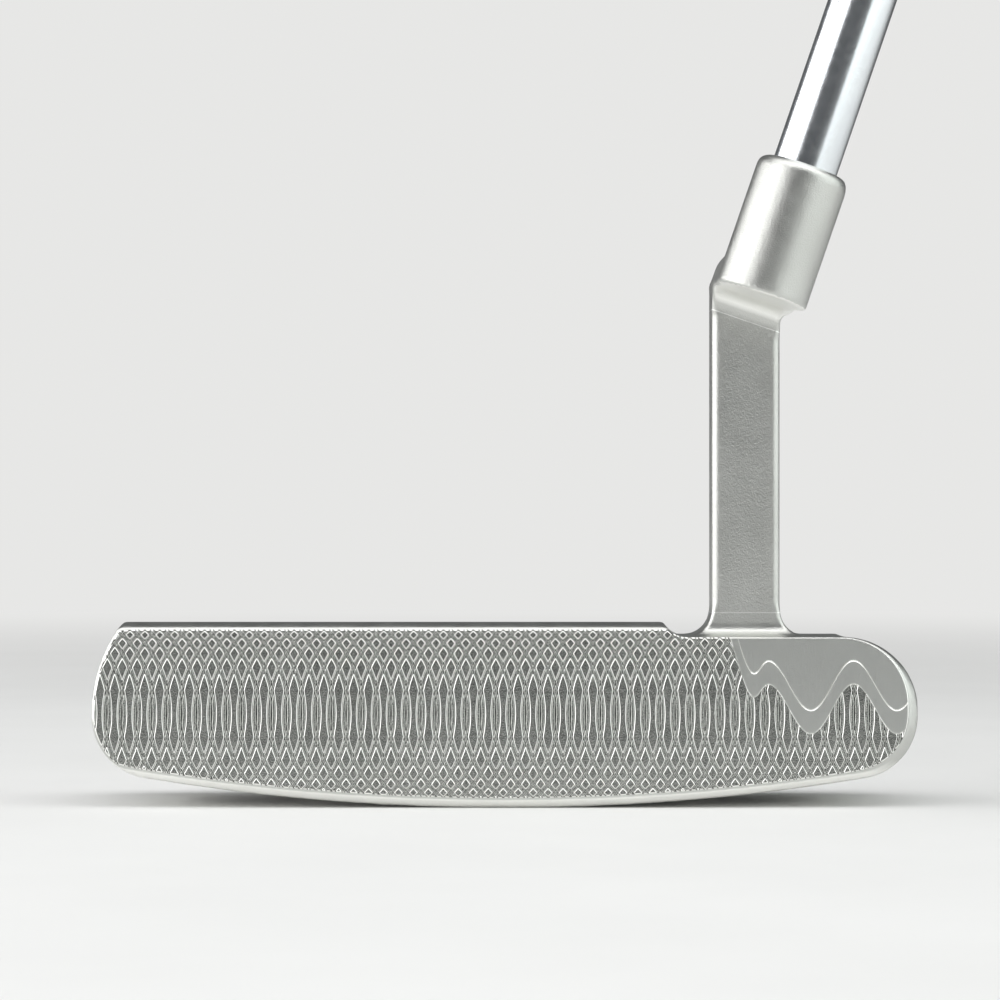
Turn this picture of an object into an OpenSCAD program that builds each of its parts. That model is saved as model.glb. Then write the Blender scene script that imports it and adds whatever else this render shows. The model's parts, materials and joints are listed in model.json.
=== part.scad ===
// Blade putter with a plumber's neck, right-handed. Millimetres, +Z up, origin on the sole's flat spot.
// The face looks along -Y, the toe is at -X and the heel at +X. The shaft leans towards the heel.

/* [Head] */
// Length from toe to heel
head_len = 120.3; // [114:0.1:124]
// Height of the topline's crown above the ground
blade_h = 26.9; // [26.5:0.1:27.5]
// Height of the heel's top above the ground
heel_h = 24.8; // [24.5:0.1:25.1]
// Depth from the leading edge to the rear edge
head_depth = 30; // [29:0.5:32]
// How far the leading edge is ahead of the origin
face_setback = 12; // [11.5:0.1:12.5]
// Loft of the face in degrees
loft = 3.5; // [2:0.5:5]
// Radius of the sole's camber from toe to heel
sole_r = 320; // [280:10:360]
// Thickness of the wall behind the face
wall_t = 6.3; // [5:0.1:7]
// Thickness of the flange at the rear of the head
flange_t = 5.6; // [4.5:0.1:7]

/* [Neck] */
// Lean of the shaft from vertical in degrees
lean = 19; // [17:0.5:21]
// Width of the neck's post across the face
post_w = 10; // [9:0.1:11]
// Depth of the neck's post from front to back
post_d = 8; // [7:0.1:9]
// Outside diameter of the hosel barrel
barrel_d = 13.5; // [12.8:0.1:14.4]
// Length of the hosel barrel
barrel_len = 19.6; // [17:0.1:24]
// Diameter of the blind bore for the shaft
bore_d = 9.6; // [9.55:0.01:9.7]
// How far the shaft's axis is ahead of the leading edge
offset = 4.7; // [4.2:0.1:5.2]

/* [Shaft] */
// Club length along the shaft, from the ground to the end of the cap
club_len = 864; // [820:1:900]
// Diameter of the parallel tip
tip_d = 9.4; // [9.3:0.01:9.5]
// Diameter of the butt under the grip
butt_d = 14.7; // [14.5:0.1:15.2]
// Number of steps from tip to butt
step_count = 12; // [8:1:14]
// Length of each step
step_len = 22; // [18:0.5:24]
// Length of the parallel tip
tip_len = 250; // [230:5:260]

/* [Grip] */
// Length of the grip with its cap
grip_len = 267; // [250:1:275]
// Width of the grip at the butt
grip_w = 25; // [23:0.5:28]

/* [Sole weights] */
// Distance of each weight from the head's centre
weight_x = 38; // [36:0.5:40]
// Diameter of a weight
weight_d = 14; // [12:0.5:15]

/* [Hidden] */
$fn = 72;
eps = 0.5;
half = head_len / 2;
face_y = -face_setback;
rear_y = face_y + head_depth;
sole_sag = 0.06;

// Front outline: radii of the ends and the heights of their centres, which put them tangent to the sole
toe_low_r = 9.5;
toe_high_r = 22;
toe_mid_z = low_z(toe_low_r);
heel_high_r = 10.6;
heel_low_r = 9.2;
heel_low_z = low_z(heel_low_r);
notch_r = 3.8;
lead_bevel = [1.5, 1.6];
trail_bevel = [9, 1.6];
crown_r = 6.56;
crown_y = face_y + 5;

// Rear of the head: where the weighted ends and their lower shelves begin, and their heights
heel_block_x = 22.5;
toe_in = -33;
heel_in = 30;
shelf_w = 6;
bumper_h = 17;
bumper_rear_h = 8.5;
shelf_h = 11.5;
shelf_rear_h = 7;
plan_r = 14.5;
bow_r = 300;
groove_depth = 0.6;
paint_gap = 0.1;

// Neck: the post's left side, its front, and the point where the shaft's axis meets the barrel's bottom
post_x = 30.3;
post_front = face_y + 5.5;
post_back = post_front + post_d;
axis_x0 = 11.2;
barrel_z = 73.9;
barrel_x = axis_x0 + barrel_z * tan(lean);
shaft_y = face_y - offset;
arm_h = 7;
arm_r = 5;
shoulder_r = 4;
arm_step = 1;
cove_r = 3.25;
base_r = 3.8;
ledge_r = 1.5;
side_r = (barrel_x + (barrel_d / 2 - arm_step) * cos(lean) - post_x - post_w) / (1 + sin(lean));
post_edge = 0.7;
post_root = 6;
rim_r = 1.5;
bore_floor = 3;

// Along the shaft, measured from the barrel's bottom
butt_s = club_len - barrel_z / cos(lean);
cap_t = 3;
shaft_end = butt_s - cap_t;
shaft_start = bore_floor + 0.2;
plug_len = 6;
tip_wall = 0.8;
butt_wall = 0.43;
tape_t = 0.2;
grip_start = butt_s - grip_len;

// Sole weights, measured inwards from the sole along each weight's axis
weight_y = 4;
weight_gap = 0.1;
thread_gap = 0.05;
weight_recess = 0.15;
weight_head = 2.7;
stud_r = 5;
stud_end = 6.6;
shoulder = 3.2;
spanner_r = 0.9;
spanner_at = 4.2;

// Height of the centre of a low corner of radius r that is tangent to the sole's camber
function low_z(r) = sole_r - sole_sag - sqrt(pow(sole_r - r, 2) - pow(half - r, 2));

// How far beyond its centre a low corner of radius r touches the sole's camber
function low_x(r) = r * (half - r) / (sole_r - r);

// Extrudes an outline drawn in X and Z along Y, from y0 to y1
module slab(y0, y1) {
    translate([0, y1, 0])
        rotate([90, 0, 0])
            linear_extrude(height = y1 - y0)
                children();
}

// Extrudes a side view drawn in Y and Z along X, from x0 to x1
module across(x0, x1) {
    translate([x0, 0, 0])
        rotate([90, 0, 90])
            linear_extrude(height = x1 - x0)
                children();
}

// Places its children on the shaft's axis, with +Z along the shaft and z = 0 at the barrel's bottom
module on_shaft() {
    translate([barrel_x, shaft_y, barrel_z])
        rotate([0, lean, 0])
            children();
}

// Places its children square to the sole at x, with +Z into the head and z = 0 at the sole
module on_sole(x) {
    translate([0, weight_y, sole_r - sole_sag])
        rotate([0, -asin(x / sole_r), 0])
            translate([0, 0, -sole_r])
                children();
}

// ---- Head ----

// The outline seen from the front, without the sole's camber
module front_outline() {
    low_left = -half + toe_low_r - low_x(toe_low_r);
    low_right = half - heel_low_r + low_x(heel_low_r);
    notch_x = post_x - notch_r;
    notch_z = heel_h + notch_r;
    difference() {
        union() {
            translate([-half + toe_low_r, toe_mid_z])
                circle(r = toe_low_r);
            intersection() {
                translate([-half + toe_high_r, toe_mid_z])
                    circle(r = toe_high_r, $fn = 120);
                translate([-half, toe_mid_z])
                    square([toe_high_r, blade_h - toe_mid_z]);
            }
            translate([low_left, -eps])
                square([low_right - low_left, heel_low_z + eps]);
            translate([-half + toe_low_r, -eps])
                square([head_len - toe_low_r - heel_low_r, toe_mid_z + eps]);
            translate([-half + toe_high_r - eps, toe_mid_z - eps])
                square([notch_x + half - toe_high_r + eps, blade_h - toe_mid_z + eps]);
            translate([0, toe_mid_z - eps])
                square([half - heel_high_r, heel_h - toe_mid_z + eps]);
            translate([half - heel_low_r, heel_low_z])
                circle(r = heel_low_r);
            intersection() {
                translate([half - heel_high_r, heel_h - heel_high_r])
                    circle(r = heel_high_r);
                translate([half - heel_high_r - eps, heel_low_z])
                    square([heel_high_r + eps, heel_h]);
            }
        }
        translate([notch_x, notch_z])
            circle(r = notch_r);
    }
}

// The outline seen from above: a gently bowed rear edge with rounded corners
module plan_outline() {
    intersection() {
        translate([0, rear_y - bow_r])
            circle(r = bow_r, $fn = 360);
        union() {
            translate([-half, face_y - 2])
                square([head_len, rear_y - plan_r - face_y + 2]);
            for (side = [-1, 1])
                translate([side * (half - plan_r), rear_y - plan_r])
                    circle(r = plan_r);
            translate([-half + plan_r, 0])
                square([head_len - 2 * plan_r, rear_y]);
        }
    }
}

// The sole: a disc about an axis high above the head, bevelled at its leading and trailing edges
module sole_form() {
    translate([0, 0, sole_r - sole_sag])
        rotate([-90, 0, 0])
            rotate_extrude($fn = 720)
                polygon([
                    [0, face_y],
                    [sole_r - lead_bevel[1], face_y],
                    [sole_r, face_y + lead_bevel[0]],
                    [sole_r, rear_y - trail_bevel[0]],
                    [sole_r - trail_bevel[1], rear_y],
                    [0, rear_y]
                ]);
}

// The blade's side view: the wall behind the face under its crowned topline
module blade_side() {
    lean_back = tan(loft) * blade_h;
    intersection() {
        polygon([
            [face_y, -eps],
            [face_y + wall_t, -eps],
            [face_y + wall_t + lean_back, blade_h],
            [face_y, blade_h]
        ]);
        union() {
            translate([crown_y, blade_h - crown_r])
                circle(r = crown_r, $fn = 120);
            translate([face_y, -eps])
                square([head_depth, blade_h - crown_r]);
        }
    }
}

// A weighted end's side view: level behind the wall, then sloping down to the rear edge
module bumper_side(height, rear_height) {
    level_y = face_y + wall_t + 6;
    polygon([
        [face_y, -eps],
        [rear_y, -eps],
        [rear_y, rear_height],
        [level_y, height],
        [face_y, height]
    ]);
}

// The heel's side view: a block as high as the heel that carries the neck
module heel_side() {
    polygon([
        [face_y, -eps],
        [post_back + 5, -eps],
        [post_back + 5, bumper_h - 3],
        [post_back + 1.5, bumper_h + 2],
        [post_back + 1.5, heel_h],
        [face_y, heel_h]
    ]);
}

// The solid that the cavity, the shelves and the weighted ends leave
module rear_form() {
    across(-half, post_x - notch_r)
        blade_side();
    across(heel_block_x, half)
        heel_side();
    across(-half, half)
        translate([face_y, -eps])
            square([head_depth, flange_t + eps]);
    across(-half, toe_in)
        bumper_side(bumper_h, bumper_rear_h);
    across(toe_in - eps, toe_in + shelf_w)
        bumper_side(shelf_h, shelf_rear_h);
    across(heel_in, half)
        bumper_side(bumper_h, bumper_rear_h);
    across(heel_in - shelf_w, heel_in + eps)
        bumper_side(shelf_h, shelf_rear_h);
}

// The flared base of the neck, seen from the front
module base_outline() {
    difference() {
        translate([post_x - notch_r, heel_h - eps])
            square([post_w + notch_r + base_r, base_r + eps]);
        translate([post_x - notch_r, heel_h + notch_r])
            circle(r = notch_r);
        translate([post_x + post_w + base_r, heel_h + base_r])
            circle(r = base_r);
    }
}

// The neck's post with bevelled edges, its flared base, and its top, which runs into the arm
module post() {
    e = post_edge;
    difference() {
        translate([post_x, post_front, heel_h - post_root])
            linear_extrude(height = barrel_z - heel_h + 2 * arm_h)
                polygon([
                    [e, 0], [post_w - e, 0], [post_w, e], [post_w, post_d - e],
                    [post_w - e, post_d], [e, post_d], [0, post_d - e], [0, e]
                ]);
        on_shaft()
            translate([-2 * barrel_d, -2 * barrel_d, eps])
                cube(4 * barrel_d);
    }
    slab(post_front, post_back)
        base_outline();
    // cove between the base's front and the ledge behind the face's top edge
    intersection() {
        slab(post_front - ledge_r, post_front + eps)
            base_outline();
        across(post_x - notch_r, post_x + post_w + base_r)
            difference() {
                translate([post_front - ledge_r, heel_h - eps])
                    square([ledge_r + eps, ledge_r + eps]);
                translate([post_front - ledge_r, heel_h + ledge_r])
                    circle(r = ledge_r);
            }
    }
}

// The arm that carries the barrel ahead of the post, with a rounded elbow at the rear and rounded shoulders.
// It is narrower than the barrel on the heel side.
module arm() {
    arm_d = post_back - shaft_y;
    left = -barrel_d / 2;
    right = barrel_d / 2 - arm_step;
    on_shaft()
        intersection() {
            translate([left, 0, 0])
                rotate([90, 0, 90])
                    linear_extrude(height = right - left)
                        intersection() {
                            square([arm_d, arm_h]);
                            union() {
                                square([arm_d, arm_h - arm_r]);
                                square([arm_d - arm_r, arm_h]);
                                translate([arm_d - arm_r, arm_h - arm_r])
                                    circle(r = arm_r);
                            }
                        }
            rotate([90, 0, 0])
                translate([0, 0, -arm_d - eps])
                    linear_extrude(height = arm_d + 2 * eps)
                        union() {
                            translate([left, -eps])
                                square([right - left, arm_h - shoulder_r + eps]);
                            translate([left + shoulder_r, -eps])
                                square([right - left - 2 * shoulder_r, arm_h + eps]);
                            for (x = [left + shoulder_r, right - shoulder_r])
                                translate([x, arm_h - shoulder_r])
                                    circle(r = shoulder_r);
                        }
        }
}

// The coves under the arm: one in front of the post, one on its heel side
module arm_coves() {
    front_y = post_front - shaft_y;
    right_x = post_x + post_w;
    reach = 2 * barrel_d;
    under_z = barrel_z - (right_x - barrel_x) * tan(lean);
    side_c = [right_x + side_r, under_z - side_r * tan(lean) - side_r / cos(lean)];
    intersection() {
        on_shaft()
            difference() {
                translate([-reach / 2, front_y - cove_r, -cove_r])
                    cube([reach, cove_r + eps, cove_r + eps]);
                translate([-reach / 2 - eps, front_y - cove_r, -cove_r])
                    rotate([0, 90, 0])
                        cylinder(r = cove_r, h = reach + 2 * eps);
            }
        translate([post_x, shaft_y, 0])
            cube([post_w, post_back - shaft_y, 2 * barrel_z]);
    }
    slab(post_front + post_edge, post_back - post_edge)
        difference() {
            polygon([
                [right_x - eps, side_c[1]],
                side_c,
                side_c + side_r * [sin(lean), cos(lean)],
                [right_x, under_z + eps],
                [right_x - eps, under_z + eps]
            ]);
            translate(side_c)
                circle(r = side_r);
        }
}

// The hosel barrel with a rounded rim
module barrel() {
    r = barrel_d / 2;
    on_shaft()
        rotate_extrude()
            union() {
                square([r, barrel_len - rim_r]);
                square([r - rim_r, barrel_len]);
                translate([r - rim_r, barrel_len - rim_r])
                    circle(r = rim_r, $fn = 48);
            }
}

// The counterbore and tapped hole for a sole weight
module weight_pocket(x) {
    on_sole(x) {
        translate([0, 0, -2])
            cylinder(d = weight_d + 2 * weight_gap, h = shoulder + 2);
        cylinder(r = stud_r + thread_gap, h = stud_end + 0.6);
    }
}

// A bar along the sight line that ends level with the flange's top
module sight_bar(depth) {
    line_w = 1.2;
    line_len = 19;
    translate([-line_w / 2, face_y + wall_t + 3.5, flange_t - depth])
        cube([line_w, line_len, depth]);
}

module head() {
    color([0.60, 0.61, 0.58])
        difference() {
            union() {
                intersection() {
                    slab(face_y, rear_y)
                        front_outline();
                    translate([0, 0, -1])
                        linear_extrude(height = blade_h + 2)
                            plan_outline();
                    sole_form();
                    rear_form();
                    translate([-half, face_y, 0])
                        cube([head_len, head_depth, blade_h]);
                }
                post();
                arm();
                arm_coves();
                barrel();
            }
            // the lofted face
            translate([-half - 5, face_y, 0])
                rotate([-loft, 0, 0])
                    translate([0, -20, -5])
                        cube([head_len + 10, 20, heel_h + 8]);
            // the blind bore for the shaft
            on_shaft()
                translate([0, 0, bore_floor])
                    cylinder(d = bore_d, h = barrel_len);
            weight_pocket(-weight_x);
            weight_pocket(weight_x);
            // the sight line's groove
            translate([0, 0, eps])
                sight_bar(groove_depth + eps);
        }
}

module sight_line_fill() {
    color([0.08, 0.08, 0.09])
        translate([0, 0, -paint_gap])
            sight_bar(groove_depth - paint_gap);
}

// ---- Sole weights ----

module sole_weight(x) {
    color([0.55, 0.55, 0.54])
        on_sole(x)
            difference() {
                union() {
                    translate([0, 0, weight_recess])
                        cylinder(d = weight_d, h = weight_head - weight_recess);
                    translate([0, 0, weight_recess])
                        cylinder(r = stud_r, h = stud_end - weight_recess);
                }
                for (side = [-1, 1])
                    translate([side * spanner_at, 0, -1])
                        cylinder(r = spanner_r, h = 3, $fn = 32);
            }
}

module weight_seal(x) {
    color([0.10, 0.10, 0.10])
        on_sole(x)
            translate([0, 0, weight_head])
                difference() {
                    cylinder(r = stud_r + 1.6, h = shoulder - weight_head);
                    translate([0, 0, -1])
                        cylinder(r = stud_r + 0.1, h = 4);
                }
}

module toe_weight() {
    sole_weight(-weight_x);
}

module heel_weight() {
    sole_weight(weight_x);
}

module toe_weight_seal() {
    weight_seal(-weight_x);
}

module heel_weight_seal() {
    weight_seal(weight_x);
}

// ---- Shaft ----

// Outside radius after k steps
function outer_r(k) = (tip_d + (butt_d - tip_d) * k / step_count) / 2;

// Inside radius after k steps: the wall thins towards the butt
function inner_r(k) = outer_r(k) - tip_wall + (tip_wall - butt_wall) * k / step_count;

// Distance along the shaft at which step k begins
function step_s(k) = shaft_start + tip_len + step_len * (k - 1);

// A stepped tube: each step's half section runs a little way into the next, so that they are one solid
module shaft() {
    overlap = 1;
    color([0.80, 0.82, 0.84])
        on_shaft()
            rotate_extrude()
                union()
                    for (k = [0:step_count]) {
                        from = k == 0 ? shaft_start : step_s(k);
                        to = k == step_count ? shaft_end : step_s(k + 1) + overlap;
                        translate([inner_r(k), from])
                            square([outer_r(k) - inner_r(k), to - from]);
                    }
}

module epoxy_bond() {
    color([0.75, 0.72, 0.55])
        on_shaft()
            translate([0, 0, bore_floor])
                difference() {
                    cylinder(d = bore_d, h = barrel_len - bore_floor - 0.4);
                    translate([0, 0, shaft_start - bore_floor])
                        cylinder(d = tip_d, h = barrel_len);
                }
}

module tip_plug() {
    color([0.72, 0.55, 0.36])
        on_shaft()
            translate([0, 0, shaft_start])
                cylinder(r = inner_r(0), h = plug_len);
}

// ---- Grip ----

// A cross-section: flat on the toe side for the thumbs, round on the heel side
module grip_section(s, w, front, back) {
    corner = 3.5;
    translate([0, 0, s])
        linear_extrude(height = 0.01)
            hull() {
                for (side = [-1, 1])
                    translate([-front + corner, side * (w / 2 - corner)])
                        circle(r = corner, $fn = 32);
                translate([back - w / 2, 0])
                    circle(r = w / 2, $fn = 48);
            }
}

// The grip's sections: how far each is above the grip's lower end, its width and its reach to front and back
grip_stations = [
    [0, 17.6, 8.8, 8.8],
    [grip_len * 0.3, grip_w - 4, 10, 11],
    [grip_len * 0.62, grip_w - 3.4, 10.2, 11.6],
    [grip_len * 0.86, grip_w - 0.6, 11, 17],
    [grip_len - cap_t - 0.01, grip_w, 11.2, 16.4]
];

module grip_sleeve() {
    color([0.09, 0.09, 0.09])
        on_shaft()
            difference() {
                for (i = [0:len(grip_stations) - 2])
                    hull()
                        for (st = [grip_stations[i], grip_stations[i + 1]])
                            grip_section(grip_start + st[0], st[1], st[2], st[3]);
                translate([0, 0, grip_start - 1])
                    cylinder(d = butt_d + 2 * tape_t, h = grip_len + 2);
            }
}

module grip_tape() {
    color([0.86, 0.84, 0.76])
        on_shaft()
            translate([0, 0, grip_start + 2])
                difference() {
                    cylinder(d = butt_d + 2 * tape_t, h = shaft_end - grip_start - 2);
                    translate([0, 0, -1])
                        cylinder(d = butt_d, h = grip_len + 2);
                }
}

// The end cap: a plate that carries on the grip's section, with a spigot in the shaft and a vent hole
module grip_cap() {
    last = grip_stations[len(grip_stations) - 1];
    spigot_r = butt_d / 2 - butt_wall;
    color([0.12, 0.12, 0.12])
        on_shaft()
            difference() {
                union() {
                    hull() {
                        grip_section(shaft_end, last[1], last[2], last[3]);
                        grip_section(shaft_end + 1.4, last[1], last[2], last[3]);
                        grip_section(butt_s - 0.01, last[1] - 3, last[2] - 1.5, last[3] - 1.5);
                    }
                    translate([0, 0, shaft_end - 6])
                        cylinder(r = spigot_r, h = 6 + eps);
                }
                translate([0, 0, shaft_end - 7])
                    cylinder(r = 1, h = 20, $fn = 32);
            }
}

head();
sight_line_fill();
toe_weight();
heel_weight();
toe_weight_seal();
heel_weight_seal();
epoxy_bond();
tip_plug();
shaft();
grip_tape();
grip_sleeve();
grip_cap();
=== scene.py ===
import json
import math

import bpy
import numpy as np
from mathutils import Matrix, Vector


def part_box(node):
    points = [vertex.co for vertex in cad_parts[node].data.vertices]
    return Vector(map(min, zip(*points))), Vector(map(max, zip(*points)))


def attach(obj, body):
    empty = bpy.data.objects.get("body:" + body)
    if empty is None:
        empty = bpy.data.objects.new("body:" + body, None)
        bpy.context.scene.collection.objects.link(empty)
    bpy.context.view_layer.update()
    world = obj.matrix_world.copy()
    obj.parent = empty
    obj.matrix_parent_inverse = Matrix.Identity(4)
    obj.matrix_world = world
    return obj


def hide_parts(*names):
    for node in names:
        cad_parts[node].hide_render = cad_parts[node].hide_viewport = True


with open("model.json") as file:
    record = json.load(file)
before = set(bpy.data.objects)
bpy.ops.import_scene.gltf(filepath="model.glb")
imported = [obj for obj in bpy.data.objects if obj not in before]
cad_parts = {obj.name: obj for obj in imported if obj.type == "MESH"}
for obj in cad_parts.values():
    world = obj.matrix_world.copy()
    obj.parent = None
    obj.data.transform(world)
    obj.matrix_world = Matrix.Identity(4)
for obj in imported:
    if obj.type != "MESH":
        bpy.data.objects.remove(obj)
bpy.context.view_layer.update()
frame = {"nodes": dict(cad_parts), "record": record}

import openvdb as vdb
from mathutils import Vector
from mathutils.bvhtree import BVHTree
from mathutils.geometry import delaunay_2d_cdt

MM = 0.001
BODY = "root"
record = frame["record"]
mounts = {m["name"]: m for m in record["mounts"]}
head_lo, head_hi = (np.array(c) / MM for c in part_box("head"))

# ---- The face's plane, in millimetres: its middle, its normal and its two directions ----

FACE_O = np.array(mounts["face"]["pos_m"]) / MM
FACE_N = np.array(mounts["face"]["axis"])
FACE_X = np.array([1.0, 0.0, 0.0])
FACE_W = np.cross(FACE_N, FACE_X)

# ---- The shaft's axis: its direction, a point on it and the way to the palm's side ----

SHAFT_U = np.array(mounts["grip"]["axis"])
SHAFT_P = np.array(mounts["shaft_clamp"]["pos_m"]) / MM
SHAFT_V = np.cross(np.array([0.0, 1.0, 0.0]), SHAFT_U)

# ---- Small helpers ----

FAR = 1e3             # mm, further than anything here


def smoothstep(t):
    """A ramp from 0 to 1 that starts and ends level."""
    t = np.clip(t, 0.0, 1.0)
    return t * t * (3 - 2 * t)


def new_object(name, points_mm, faces, smooth=False):
    """A mesh object in the frame, from points in millimetres."""
    mesh = bpy.data.meshes.new(name)
    mesh.from_pydata([tuple(p) for p in np.asarray(points_mm) * MM], [], faces)
    mesh.validate()
    mesh.polygons.foreach_set("use_smooth", [smooth] * len(mesh.polygons))
    mesh.update()
    obj = bpy.data.objects.new(name, mesh)
    bpy.context.scene.collection.objects.link(obj)
    return obj


def middle_of(name):
    """The middle of a CAD node's box, in metres."""
    lo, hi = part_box(name)
    return [(a + b) / 2 for a, b in zip(lo, hi)]


def install(obj, material, node):
    """Rides a piece on the club and material, and hides the CAD node it stands for."""
    obj.data.materials.clear()
    obj.data.materials.append(material)
    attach(obj, BODY)
    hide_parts(node)


# ---- Materials ----

RING_PITCH = 0.32     # mm between the rings that turning leaves on the sole weights
WAVE_RATE = 20        # radians that the wave texture turns through per unit of its scale
SOLE_HIGHLIGHT_WAY = (0.0, -0.42, -0.91)   # the way that the sole's leading bevel faces, where a highlight is painted into its colour
BASE_LINE_Z = 28.2    # mm, where the neck's base stops and its post is milled
COVE_R = 3.25         # mm from the barrel's foot down to the cove's lower edge
HIGHLIGHT_LINE_W = 0.2    # mm, the width of the two fine lines on the neck where the milling changes, painted lighter as highlights
# the lighter colour of those two lines: a painted highlight
LINE_HIGHLIGHT_TONE = (0.9, 0.9, 0.88)
BORE_FLOOR = 3.0      # mm from the barrel's foot up to the bore's floor


class Nodes:
    """Builds one material's nodes with short calls."""

    def __init__(self, name):
        self.material = bpy.data.materials.new(name)
        self.material.use_nodes = True
        self.tree = self.material.node_tree
        self.shader = self.tree.nodes["Principled BSDF"]
        self.coords = self.tree.nodes.new("ShaderNodeTexCoord").outputs["Object"]

    def link(self, a, b):
        self.tree.links.new(a, b)

    def node(self, kind, **inputs):
        """A new node with values on its inputs, whose names have _ for a space."""
        made = self.tree.nodes.new(kind)
        for key, value in inputs.items():
            made.inputs[key.replace("_", " ")].default_value = value
        return made

    def mapped(self, **inputs):
        """Object coordinates moved, turned or stretched."""
        made = self.node("ShaderNodeMapping", **inputs)
        self.link(self.coords, made.inputs["Vector"])
        return made.outputs["Vector"]

    def noise(self, size_mm, detail, vector=None):
        """Noise whose features are about size_mm across."""
        made = self.node("ShaderNodeTexNoise", Scale=1 / (size_mm * MM), Detail=detail)
        self.link(vector or self.coords, made.inputs["Vector"])
        return made.outputs["Fac"]

    def ramp(self, noise, low, high):
        """Maps a noise, which seldom leaves 0.3 to 0.7, onto colours or greys from low to high."""
        made = self.tree.nodes.new("ShaderNodeValToRGB")
        for element, position, colour in zip(made.color_ramp.elements, (0.3, 0.7), (low, high)):
            element.position = position
            element.color = (*colour, 1) if isinstance(colour, tuple) else (colour, colour, colour, 1)
        self.link(noise, made.inputs["Fac"])
        return made.outputs["Color"]

    def maths(self, operation, value, other=None, kind="ShaderNodeMath"):
        """A Math or Vector Math node on a socket and, where it takes one, another socket or a fixed value."""
        made = self.tree.nodes.new(kind)
        made.operation = operation
        self.link(value, made.inputs[0])
        if isinstance(other, bpy.types.NodeSocket):
            self.link(other, made.inputs[1])
        elif other is not None:
            made.inputs[1].default_value = other
        return made.outputs["Value"]

    def ranged(self, value, start, end, interpolation="LINEAR"):
        """0 to 1 as a value goes from start to end."""
        made = self.node("ShaderNodeMapRange", From_Min=start, From_Max=end)
        made.interpolation_type = interpolation
        self.link(value, made.inputs["Value"])
        return made.outputs["Result"]

    def facing(self, direction, start, end):
        """0 to 1 as the cosine between the surface's normal and a direction goes from start to end."""
        normal = self.tree.nodes.new("ShaderNodeTexCoord").outputs["Normal"]
        return self.ranged(self.maths("DOT_PRODUCT", normal, direction, "ShaderNodeVectorMath"), start, end)

    def along(self, direction):
        """How far a point is along a direction, in metres from the frame's origin."""
        return self.maths("DOT_PRODUCT", self.coords, direction, "ShaderNodeVectorMath")

    def above_face(self, start_mm, end_mm):
        """0 to 1 between two heights above the face's plane."""
        plane = float(FACE_O @ FACE_N)
        return self.ranged(self.along(FACE_N), (plane + start_mm) * MM, (plane + end_mm) * MM)

    def fine_line(self, direction, at_mm, width_mm):
        """1 on a fine line where a plane square to a direction cuts the surface, 0 away from it."""
        away = self.maths("ABSOLUTE", self.maths("SUBTRACT", self.along(direction), at_mm * MM))
        return self.ranged(away, width_mm / 2 * MM, width_mm / 6 * MM)

    def mix(self, share, a, b):
        """Blends a socket with a colour or a grey by share."""
        made = self.tree.nodes.new("ShaderNodeMix")
        made.data_type = "RGBA"
        self.link(share, made.inputs[0])
        self.link(a, made.inputs[6])
        made.inputs[7].default_value = (*b, 1) if isinstance(b, tuple) else (b, b, b, 1)
        return made.outputs[2]

    def bump(self, height, depth_mm, after=None):
        """A relief depth_mm high, on top of the one whose normal is after."""
        made = self.node("ShaderNodeBump", Strength=1.0, Distance=depth_mm * MM)
        self.link(height, made.inputs["Height"])
        if after:
            self.link(after, made.inputs["Normal"])
        return made.outputs["Normal"]

    def finish(self, metallic, colour, roughness, normal):
        """Wires up the shader and gives the finished material."""
        self.shader.inputs["Metallic"].default_value = metallic
        for value, socket in ((colour, "Base Color"), (roughness, "Roughness"), (normal, "Normal")):
            self.link(value, self.shader.inputs[socket])
        return self.material


def blasted_steel(name):
    """Bead-blasted steel: fine dimples, uneven tone, two fine lines on the neck painted lighter as
    highlights, and a highlight painted on the sole's leading bevel.
    """
    n = Nodes(name)
    # painted highlight: where the sole's leading bevel faces down, its colour is painted near-white and its
    # roughness raised
    sole_highlight = n.facing(SOLE_HIGHLIGHT_WAY, 0.72, 0.86)
    tone = n.ramp(n.noise(9.0, 4.0), (0.585, 0.59, 0.565), (0.64, 0.645, 0.62))
    cove_foot = float(SHAFT_P @ SHAFT_U) + barrel_foot() - COVE_R
    # painted highlights: fine lines at the post's base and at the cove's lower edge are painted lighter
    base_highlight = n.fine_line((0.0, 0.0, 1.0), BASE_LINE_Z, HIGHLIGHT_LINE_W)
    cove_highlight = n.fine_line(tuple(SHAFT_U), cove_foot, HIGHLIGHT_LINE_W)
    highlit = n.mix(cove_highlight, n.mix(base_highlight, tone, LINE_HIGHLIGHT_TONE), LINE_HIGHLIGHT_TONE)
    colour = n.mix(sole_highlight, highlit, (0.98, 0.98, 0.95))
    roughness = n.mix(sole_highlight, n.ramp(n.noise(3.0, 5.0), 0.31, 0.38), 0.42)
    grain = n.bump(n.noise(0.2, 2.0), 0.05)
    normal = n.bump(n.noise(0.6, 3.0), 0.02, after=grain)
    return n.finish(1.0, colour, roughness, normal)


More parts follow.
